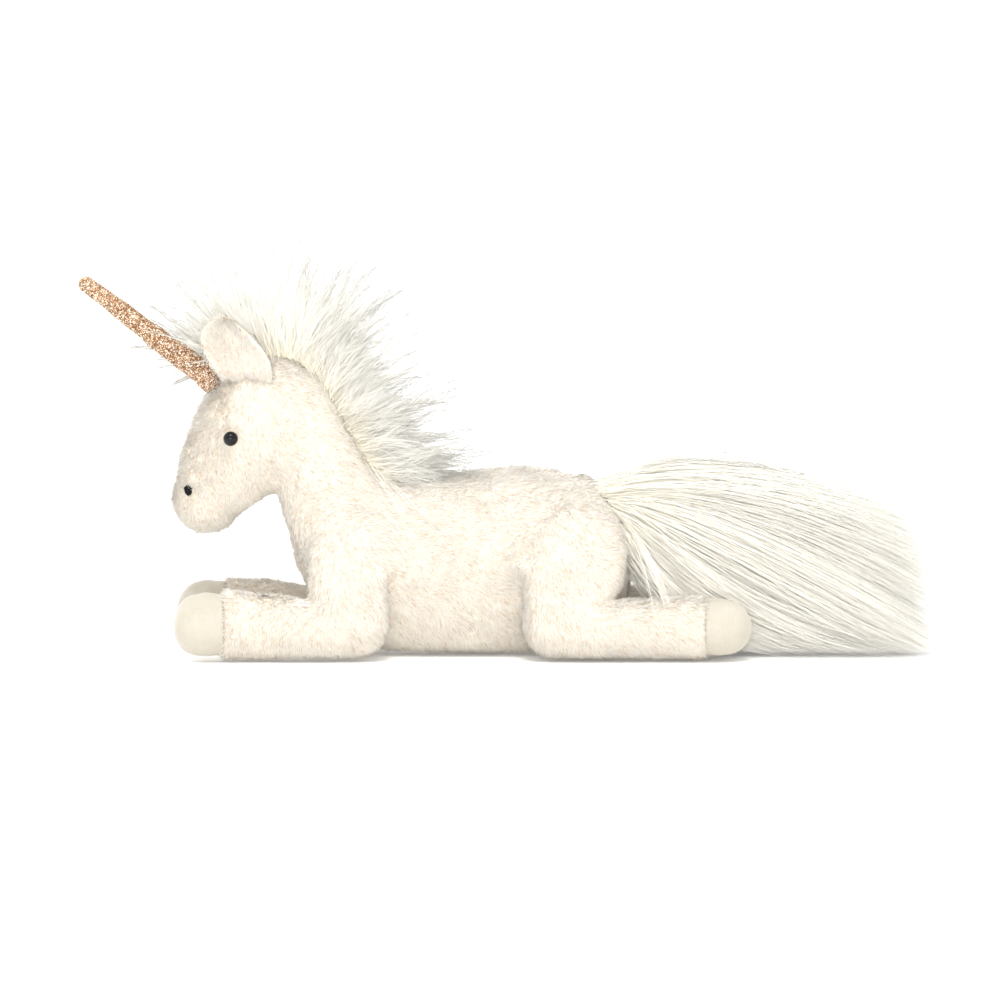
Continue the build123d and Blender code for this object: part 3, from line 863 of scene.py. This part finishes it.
def build_nostrils():
    made = {}
    for name, side in (("left", -1), ("right", 1)):
        points, tris, count = [], [], 0
        for i, ((x0, z0), (x1, z1)) in enumerate(STITCHES):
            stand = 1.5 + 0.12 * (i % 2)
            a = np.array([x0, side * (skin_side(x0, z0) + stand), z0])
            b = np.array([x1, side * (skin_side(x1, z1) + stand), z1])
            p, t = capsule(a, b, 0.5)
            points.append(p)
            tris.append(t + count)
            count += len(p)
        points, tris = np.vstack(points), np.vstack(tris)
        made[name] = new_mesh(f"{name}_nostril_stitches", points, outward(points, tris), MATERIALS["thread"])
    return made


# -------- long hair

def bezier(p0, p1, p2, p3, steps):
    t = np.linspace(0, 1, steps)[None, :, None]
    p0, p1, p2, p3 = (p[:, None] for p in (p0, p1, p2, p3))
    return (1 - t) ** 3 * p0 + 3 * (1 - t) ** 2 * t * p1 + 3 * (1 - t) * t**2 * p2 + t**3 * p3


HAIR_TOP, HAIR_END = 219, 233       # no strand goes above or beyond these
MOST_FACES = 200000                 # in one piece


def locks(name, guide, strands, seed, radius, material, loose, gather=0.7, steps=8, fluff=1.2, wave=1.2,
          side=1.0, part=1.0):
    """Strands that follow guide curves, (m, 4, 3), and come together towards each guide's tip.
    Each lock waves a little, and the strands are shaded as one soft mass that faces up and outwards from
    where it parts."""
    rng = np.random.default_rng(seed)
    m = len(guide)
    own = np.repeat(np.arange(m), strands)
    n = len(own)
    g = guide[own]
    spread = rng.normal(size=(n, 3)) * loose
    long = rng.uniform(0.72, 1.04, (n, 1))
    root = g[:, 0] + spread * np.array([0.55, 0.8, 0.35])
    push = [1.0, 0.8, 1.0 - gather]
    p1, p2, p3 = (
        g[:, i] + spread * push[i - 1] + rng.normal(size=(n, 3)) * fluff * i * 0.5 for i in (1, 2, 3)
    )
    line = bezier(root, p1, p2, g[:, 2] + (p3 - g[:, 2]) * long, steps)
    t = np.linspace(0, 1, steps)[None, :, None]
    phase = np.repeat(rng.uniform(0, 1, (m, 1, 1)), strands, axis=0)
    way = np.repeat(rng.normal(size=(m, 1, 3)), strands, axis=0)
    way = way + 0.3 * rng.normal(size=(n, 1, 3))
    line = line + wave * t * np.sin(2 * math.pi * (1.2 * t + phase)) * way
    line[:, 1:, 2] = np.clip(line[:, 1:, 2], 0.5, HAIR_TOP)
    line[..., 0] = np.minimum(line[..., 0], HAIR_END)
    taper = np.linspace(1, 0.45, steps - 1)[None] * radius * rng.uniform(0.75, 1.25, (n, 1))
    tone = np.clip(rng.normal(0.64, 0.13, n) + np.repeat(rng.normal(0, 0.06, m), strands), 0.02, 0.98)
    # hair rooted right of the mane's strip parts further right, as the forelock does
    middle = part + np.where(g[:, 0, 1] > MANE_HALF, FORELOCK_Y, 0.0)
    facing = np.stack([np.zeros(n), side * np.clip((line[:, 2, 1] - middle) / 4, -1, 1), np.full(n, 0.7)], -1)
    made = []
    per = MOST_FACES // ((steps - 2) * 6 + 4)
    for i in range(math.ceil(n / per)):
        s = slice(i * per, (i + 1) * per)
        strands_of = line[s, 0], line[s, 1:], taper[s], tone[s]
        made.append(strand_mesh(f"{name}_{i + 1}", *strands_of, material, unit(facing[s]), rounded=0.6))
    return made


def row_at(rows, share):
    """The rows of a table at shares of its length, on straight lines between its own rows."""
    table = np.array(rows, float).reshape(len(rows), -1)
    at = share * (len(rows) - 1)
    return np.stack([np.interp(at, np.arange(len(rows)), column) for column in table.T], -1)


MANE_HALF = 4.5     # half the width of the strip the mane grows from
FORELOCK_Y = 7.5    # the forelock falls to the right of the horn

# where the mane grows, from the forelock to the withers: x, z, and the way it leaves (x, z) with its length
MANE = [
    (-137, 147.0, -0.98, 0.1, 42), (-133, 149.5, -0.87, 0.45, 46), (-127, 151.5, -0.7, 0.72, 48),
    (-118, 151.5, -0.42, 0.9, 50), (-106, 152.0, -0.12, 0.99, 50), (-99.5, 149.5, 0.2, 0.98, 48),
    (-93, 144.0, 0.42, 0.9, 46), (-86, 134.5, 0.62, 0.78, 42), (-79.5, 122.5, 0.78, 0.62, 40),
    (-72.7, 112, 0.88, 0.47, 40), (-66, 99.8, 0.95, 0.3, 38), (-59.3, 93.0, 0.98, 0.16, 36),
    (-51, 90.0, 0.99, 0.06, 34),
]
MANE_SPLIT = 0.5    # the share of the mane, from the front, that grows on the head
MANE_SIDES = (-34, 38)
TILT = 0.45         # how far the mane leans outwards

# the mane's layers, inner to outer: how many guides, where the first may be, their reach and their stray
MANE_LAYERS = ((700, 0.05, 0.66, 0.26), (260, 0.03, 0.98, 0.32), (160, 0.0, 1.72, 0.34))


def mane_guides(rng, count, first, last, reach, stray):
    """Guide curves along part of the mane: they leave upright and fall backwards, outwards and apart."""
    share = rng.uniform(first, last, count)
    row = row_at(MANE, share)
    forelock = held(3.2 - share * (len(MANE) - 1))
    straight = np.stack([row[:, 2], np.zeros(count), row[:, 3]], -1)
    way = unit(straight + rng.normal(size=(count, 3)) * [stray, TILT * 0.5, stray])
    across = rng.uniform(-MANE_HALF, MANE_HALF, count) * (1 - 0.4 * forelock) + FORELOCK_Y * forelock
    long = (row[:, 4] * reach * rng.uniform(0.7, 1.1, count))[:, None]
    root = np.stack([row[:, 0], across, row[:, 1] - 1.2 - 0.03 * across**2], -1)
    side = np.stack([np.zeros(count), np.clip(across / MANE_HALF, -1, 1), np.zeros(count)], -1)
    fall = np.stack([mean + 0.1 * rng.normal(size=count) for mean in (0.25, 0.0, -0.18)], -1)
    p1 = root + way * long * 0.35
    p2 = root + way * long * 0.7 + side * long * 0.06
    p3 = root + (way + side * TILT * 0.3) * long + fall * long * 0.45
    p3 = p3 + rng.normal(size=(count, 3)) * long * 0.05
    guides = np.stack([root, p1, p2, p3], 1)
    guides[..., 1] = np.clip(guides[..., 1], *MANE_SIDES)
    guides[..., 2] = np.minimum(guides[..., 2], HAIR_TOP - 2)
    return guides


def build_mane():
    made = {}
    for name, first, last, seed in (("head_mane", 0.0, MANE_SPLIT, 61), ("neck_mane", MANE_SPLIT, 1.0, 62)):
        rng = np.random.default_rng(seed)
        core, outer_part, wisps = (
            mane_guides(rng, count, max(first, start), last, reach, stray)
            for count, start, reach, stray in MANE_LAYERS
        )
        hair, tips = MATERIALS["hair"], MATERIALS["wisps"]
        made[name] = [
            *locks(f"{name}_core", core, 14, seed + 10, 0.14, hair, gather=0.1, loose=2.4, steps=6),
            *locks(f"{name}_locks", outer_part, 9, seed + 20, 0.11, hair, gather=0.4, loose=1.8, steps=7),
            *locks(f"{name}_wisps", wisps, 4, seed + 30, 0.16, tips, gather=0.9, loose=1.2, fluff=0.9,
                   side=0.3),
        ]
    return made


# the tail as a fan of guides from the topmost to the lowest: two middle points and a tip, each (x, z)
TAIL = [
    ((85, 93), (130, 94), (200, 68)), ((86, 90), (136, 87), (208, 57)), ((86, 87), (140, 78), (213, 42)),
    ((85, 84), (138, 70), (214, 26)), ((83, 81), (134, 60), (212, 11)), ((80, 78), (126, 50), (204, 3)),
    ((76, 75), (114, 38), (190, 1.5)), ((70, 71), (101, 29), (169, 1.5)), ((66, 65), (89, 25), (147, 1.5)),
    ((63, 59), (78, 28), (125, 4)), ((60, 56), (66, 41), (90, 24)),
]
TAIL_RISE = 17      # how far above the fan its loose topmost hair rises
DRAPE = 15          # how many locks hang over the hind leg
TAIL_ROOT, TAIL_HALF = 9, 19            # half the tail's width at its root and further out
RUMP_X, RUMP_Z = 42, 51.5               # the middle of the rump that the tail's roots lie on
RUMP_LONG, RUMP_WIDE, RUMP_HIGH = 22, 23, 38.8
BETWEEN_LEGS = 12


def tail_guides(rng, count, low, high, reach, rise=0.0):
    """Guide curves over part of the fan, from the dock out to the tips, some rising loosely above it."""
    q = rng.uniform(low, high, count)
    row = row_at(TAIL, q)
    across = rng.normal(0, 0.45, count).clip(-1, 1)
    high = np.minimum(84.5 - 14 * q + rng.normal(0, 1.0, count), 86)
    off_middle = ((high - RUMP_Z) / RUMP_HIGH) ** 2 + (across * TAIL_ROOT / RUMP_WIDE) ** 2
    rump = RUMP_X + RUMP_LONG * np.sqrt(held(1 - off_middle))
    root = np.stack([rump - rng.uniform(0.2, 2.5, count), across * TAIL_ROOT, high], -1)
    wide = TAIL_HALF * across
    p1, p2, p3 = (
        np.stack([row[:, 2 * i], wide * s, row[:, 2 * i + 1]], -1) for i, s in enumerate((0.6, 0.95, 1.1))
    )
    long = ((reach + 0.12 * held(3 * q - 1)) * rng.uniform(0.8, 1.04, count))[:, None]
    lift = rise * rng.random(count)
    p3 = root + (p3 - root) * long + rng.normal(size=(count, 3)) * [3.5, 1.2, 4.0]
    p3[:, 0] = np.minimum(p3[:, 0], rng.uniform(220, 240, count) - 0.3 * np.abs(p3[:, 2] - 20))
    p2 = root + (p2 - root) * (0.35 + 0.65 * long) + rng.normal(size=(count, 3)) * [3.0, 1.0, 3.5]
    p1 = p1 + rng.normal(size=(count, 3)) * [2.0, 0.8, 2.5]
    for p, share in ((p1, 1.0), (p2, 1.2), (p3, 0.8)):
        p[:, 2] += lift * share
    guides = np.stack([root, p1, p2, p3], 1)
    guides[..., 2] = np.maximum(guides[..., 2], 1.5)
    # hair low down beside a shank stays between the legs
    low_part = (guides[..., 0] < 126) & (guides[..., 2] < 38)
    guides[..., 1] = np.where(low_part, guides[..., 1].clip(-BETWEEN_LEGS, BETWEEN_LEGS), guides[..., 1])
    return guides


def build_tail():
    rng = np.random.default_rng(71)
    hair = MATERIALS["tail_hair"]
    core = tail_guides(rng, 900, 0.0, 0.98, 1.12)
    rim = tail_guides(rng, 460, 0.0, 0.9, 1.24)
    wisps = tail_guides(rng, 150, 0.0, 0.75, 1.1)
    loose = tail_guides(rng, 40, 0.0, 0.12, 0.75, TAIL_RISE)
    drape = tail_guides(rng, DRAPE, 0.75, 1.0, 1.0)
    over_shank, at = np.arange(DRAPE) % 3 == 0, rng.random(DRAPE)
    for i, onto_hoof, onto_shank in (
        (1, ((72, -12, 66), (8, -2, 0)), ((66, -15, 62), (4, -3, 0))),
        (2, ((92, -28, 47), (8, -4, 0)), ((73, -36, 45), (9, -3, 0))),
        (3, ((108, -33, 34), (16, -6, -3)), ((76, -48, 22), (18, 0, 5))),
    ):
        for chosen, (place, reach) in ((~over_shank, onto_hoof), (over_shank, onto_shank)):
            drape[chosen, i] = np.array(place) + at[chosen, None] * np.array(reach)
    tips = MATERIALS["wisps"]
    return [
        *locks("tail_core", core, 18, 72, 0.15, hair, gather=0.0, loose=3.6, steps=7, fluff=1.6, wave=1.6),
        *locks("tail_locks", rim, 12, 73, 0.12, hair, gather=0.3, loose=3.0, fluff=1.5, wave=2.0),
        *locks("tail_wisps", wisps, 6, 74, 0.1, tips, gather=0.8, loose=1.8, steps=9, wave=2.5,
               side=0.3, part=0.0),
        *locks("tail_loose", loose, 6, 76, 0.09, tips, loose=2.0, steps=9, fluff=1.5, side=0.3, part=0.0),
        *locks("tail_drape", drape, 5, 75, 0.1, hair, gather=0.8, loose=0.9, steps=9, fluff=0.3, wave=0.4,
               side=0.4),
    ]


# -------- inside and behind

DOCK = [(57, 0, 80, 4.4, 4.4), (61, 0, 80.2, 3.6, 3.6), (65, 0, 80, 4.2, 4.2)]
ROPE_MARGIN = 4     # clear space round a rope on its grid
POUCH = [(-38, 0, 14, 9.2, 11), (-16, 0, 14, 9.4, 11.4), (6, 0, 14, 9.2, 11)]


def rope(name, rows, caps, step, material):
    """A closed round form along a path, as one piece."""
    table = np.array(rows, float)
    reach = table[:, 3:].max() + max(caps) + ROPE_MARGIN
    g = Grid(table[:, :3].min(0) - reach, table[:, :3].max(0) + reach, step)
    points, quads = g.surface(g.tube(rows, caps))
    return new_mesh(name, points, outward(points, quads), material)


STRIP_ROWS, STRIP_ACROSS = 40, 9        # points along and across the mane's woven strip
STRIP_HALF, STRIP_THICK, STRIP_BEND, STRIP_SUNK = 5.2, 0.7, 1.1, 0.9


def strip(name, first, last):
    """The woven strip that the mane grows from, as a flat closed band along the skin."""
    row = row_at(MANE, np.linspace(first, last, STRIP_ROWS))
    line = np.stack([row[:, 0], np.zeros(STRIP_ROWS), row[:, 1] - STRIP_SUNK], -1)
    along = unit(np.gradient(line, axis=0))
    up = unit(np.cross(along, -SIDEWAYS))
    up = up * np.sign(up[:, 2:] + 1e-6)
    across = np.linspace(-1, 1, STRIP_ACROSS)
    top = line[:, None] + SIDEWAYS * (across * STRIP_HALF)[:, None]
    top = top + up[:, None] * (-STRIP_BEND * across**2)[:, None]
    under = top - up[:, None] * STRIP_THICK
    points = np.concatenate([top.reshape(-1, 3), under.reshape(-1, 3)])
    quads = outward(points, two_sheets(STRIP_ROWS, STRIP_ACROSS))
    return new_mesh(name, points, quads, MATERIALS["woven"])


# -------- floor and light

FLOOR_HALF = 3e4


def build_floor():
    corners = FLOOR_HALF * np.array([[-1, -1, 0], [1, -1, 0], [1, 1, 0], [-1, 1, 0]])
    floor = new_mesh("floor", corners, [[0, 1, 2, 3]], MATERIALS["floor"], smooth=False)


def build_light():
    scene = bpy.context.scene
    world = bpy.data.worlds.new("world")
    scene.world = world
    world.use_nodes = True
    sky = world.node_tree.nodes["Background"]
    sky.inputs["Color"].default_value = (0.99, 0.99, 0.985, 1.0)
    sky.inputs["Strength"].default_value = 1.2
    lamps = (
        ("key", (0.0, 0.5, -1.0), 1.5, 18), ("fill", (0.0, 1.0, -0.1), 1.0, 24),
        ("back", (0.3, -0.8, -0.6), 1.0, 50),
    )
    for name, way, energy, size in lamps:
        data = bpy.data.lights.new(name, "SUN")
        data.energy, data.angle = energy, math.radians(size)
        aimed(data, way)
    scene.view_settings.view_transform = "Standard"
    scene.cycles.diffuse_bounces = 8


# -------- pieces and their bodies

def shown_with(obj, slot, *nodes):
    if nodes:
        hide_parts(*nodes)


def goes_with(body, obj, slot, *nodes):
    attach(obj, body)
    shown_with(obj, slot, *nodes)


def follow_joints(skins, hooves, coat, ears, horn, nostrils, mane, tail):
    """Pieces go with their bodies, and the parts of model.glb they stand for are hidden. The skins and coat
    are only fixed in place: the joints listed for them are not used, and nothing bends.
    """
    nod = ("torso", "neck", (-0.058, 0, 0.052), (-0.09, 0, 0.096))
    crown = ("neck", "head", (-0.096, 0, 0.100), (-0.112, 0, 0.112))
    bends = {"trunk": nod, "head": crown}
    for name in LEGS:
        x = -0.076 if "front" in name else 0.036
        y = -0.031 if "left" in name else 0.031
        bends[name] = ("torso", name, (x, y, 0.062), (x, y, 0.034))
    for name, bend in bends.items():
        for piece in (skins[name][0], *coat[name]):
            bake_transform(piece)
    shown_with(skins["trunk"][0], "fur", "torso_cover", "torso_stuffing", "neck_cover", "neck_stuffing")
    shown_with(skins["head"][0], "fur", "head_cover", "head_stuffing")
    for name in LEGS:
        shown_with(skins[name][0], "fur", f"{name}_cover", f"{name}_stuffing")
    for name, hoof in hooves.items():
        goes_with(name.replace("hoof", "leg"), hoof, "suede", f"{name}_cover")
    for side, (skin, pile) in ears.items():
        goes_with(f"{side}_ear", skin, "fur", f"{side}_ear_back", f"{side}_ear_lining")
        for piece in pile:
            goes_with(f"{side}_ear", piece, "fur")
    goes_with("horn", horn, "glitter", "horn_cover", "horn_stuffing")
    goes_with("horn", bpy.data.objects["horn_glitter"], "glitter")
    for side, nostril in nostrils.items():
        goes_with("head", nostril, "thread", f"{side}_nostril")
    for name, body in (("head_mane", "head"), ("neck_mane", "neck")):
        first, last = (0.0, MANE_SPLIT) if body == "head" else (MANE_SPLIT, 1.0)
        band = strip(f"{name}_strip", max(first, 0.1), last)
        goes_with(body, band, "woven", f"{name}_backing")
        for piece in mane[name]:
            goes_with(body, piece, "hair")
        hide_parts(name)
    for piece in tail:
        goes_with("tail", piece, "hair")
    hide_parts("tail_hair")
    dock = rope("dock_cover", DOCK, (3, 3), 0.8, MATERIALS["skin"])
    goes_with("dock", dock, "woven", "tail_dock")
    pouch = rope("belly_pouch", POUCH, (11, 11), 1.5, MATERIALS["woven"])
    goes_with("torso", pouch, "woven", "pellet_pouch")
    for side in ("left", "right"):
        for node, material in ((f"{side}_eye", "bead"), (f"{side}_eye_washer", "washer")):
            finish_node(node, MATERIALS[material])
    finish_node("pouch_pellets", MATERIALS["pellet"])


def finish_node(node, material):
    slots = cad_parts[node].data.materials
    slots.clear()
    slots.append(material)


# -------- the toy

SKINS = build_skins()
HOOVES = build_hooves()
COAT = build_coat(SKINS)
EARS = build_ears()
HORN = build_horn()
NOSTRILS = build_nostrils()
MANES = build_mane()
TAIL_HAIR = build_tail()
build_floor()
build_light()
follow_joints(SKINS, HOOVES, COAT, EARS, HORN, NOSTRILS, MANES, TAIL_HAIR)
